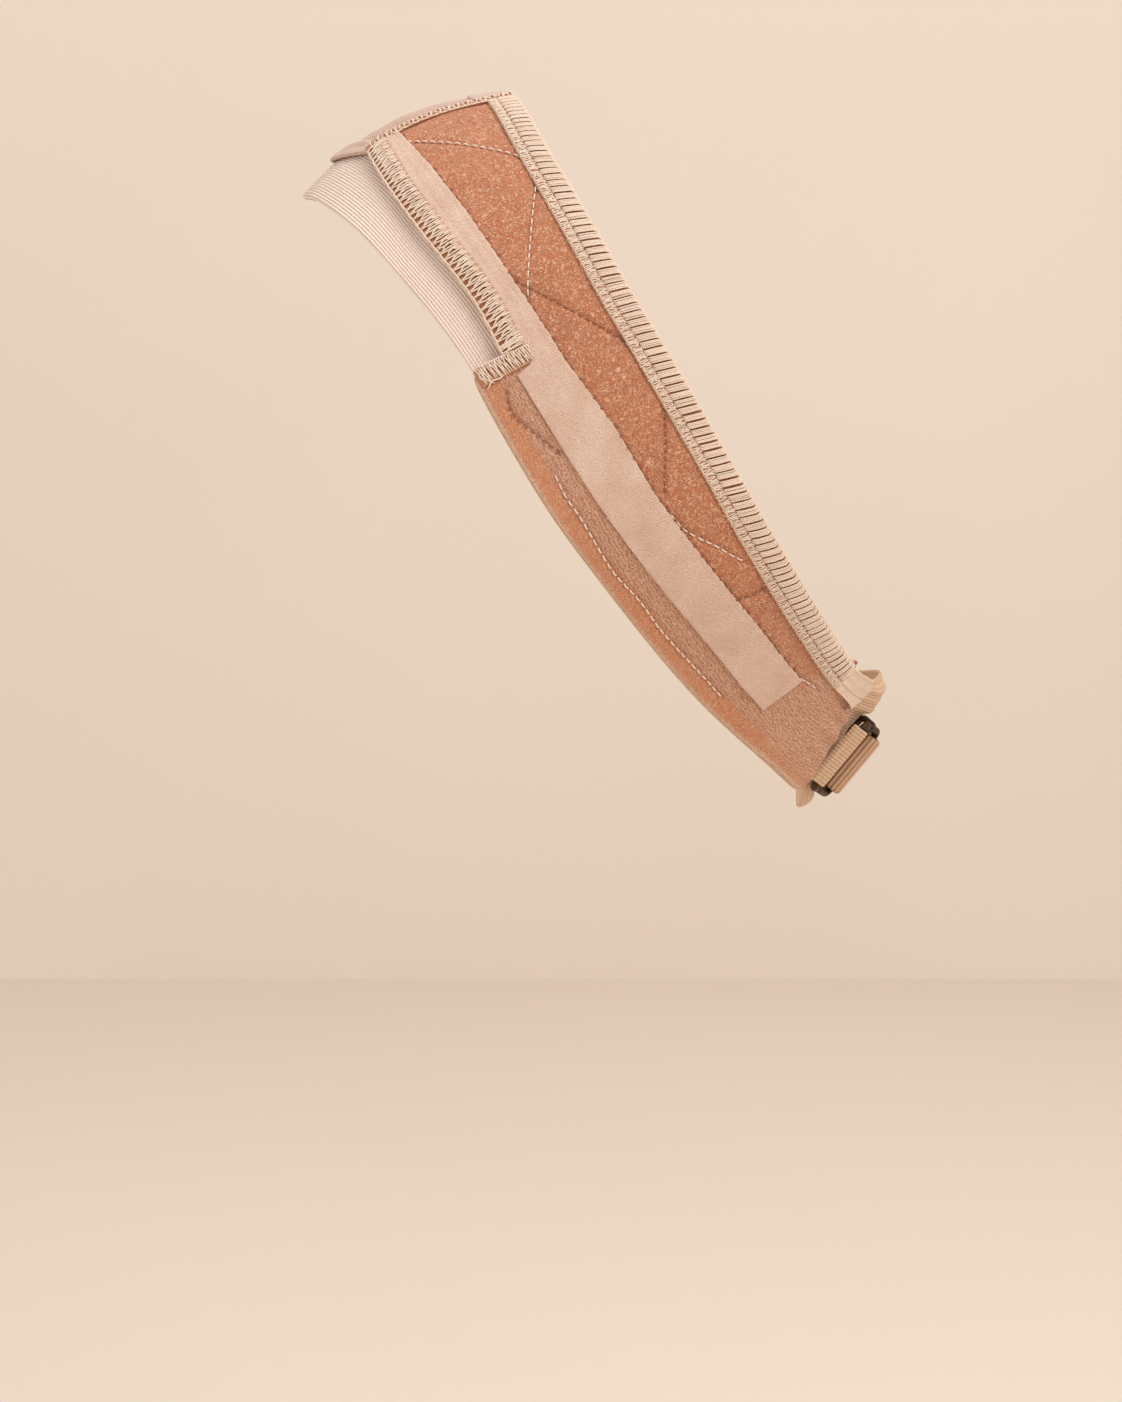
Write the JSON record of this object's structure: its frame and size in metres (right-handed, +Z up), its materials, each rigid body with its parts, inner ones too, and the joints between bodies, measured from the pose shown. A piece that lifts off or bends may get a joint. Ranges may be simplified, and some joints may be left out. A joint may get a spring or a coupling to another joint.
{
  "type": "wig grip band",
  "caption": "Velour wig grip band in its worn form, with a lace crown, a forehead elastic, overlocked edges and a buckled nape strap.",
  "frame": {"origin": "where the crown of the band rests on the head: the underside of the lace on the midline, near its rear edge", "axes": "+Z up as worn, the wearer faces -Y, +X is the wearer's left"},
  "size_m": [0.159, 0.1505, 0.1844],
  "materials": {
    "velour": "short curled pile, matt with a slight sheen",
    "grip_strip": "smooth fine knit, matt",
    "overlock": "satin overlock thread",
    "lace": "fine net, matt",
    "front_elastic": "ribbed woven elastic, matt",
    "tan_elastic": "ribbed elastic, matt",
    "bronze": "dark antique bronze wire, semi-gloss"
  },
  "bodies": {
    "root": {"crown_lace": "lace", "front_elastic": "front_elastic", "velour_panel_L": "velour", "velour_panel_R": "velour", "grip_strip_L": "grip_strip", "grip_strip_R": "grip_strip", "rear_border_L": "overlock", "rear_border_R": "overlock", "front_border_L": "overlock", "front_border_R": "overlock", "notch_border_L": "overlock", "notch_border_R": "overlock", "crown_seam_L": "overlock", "crown_seam_R": "overlock", "end_loop_L": "tan_elastic", "end_loop_R": "tan_elastic", "buckle_L": "bronze", "buckle_R": "bronze", "nape_band": "tan_elastic", "adjuster_strap": "tan_elastic"}
  },
  "joints": []
}
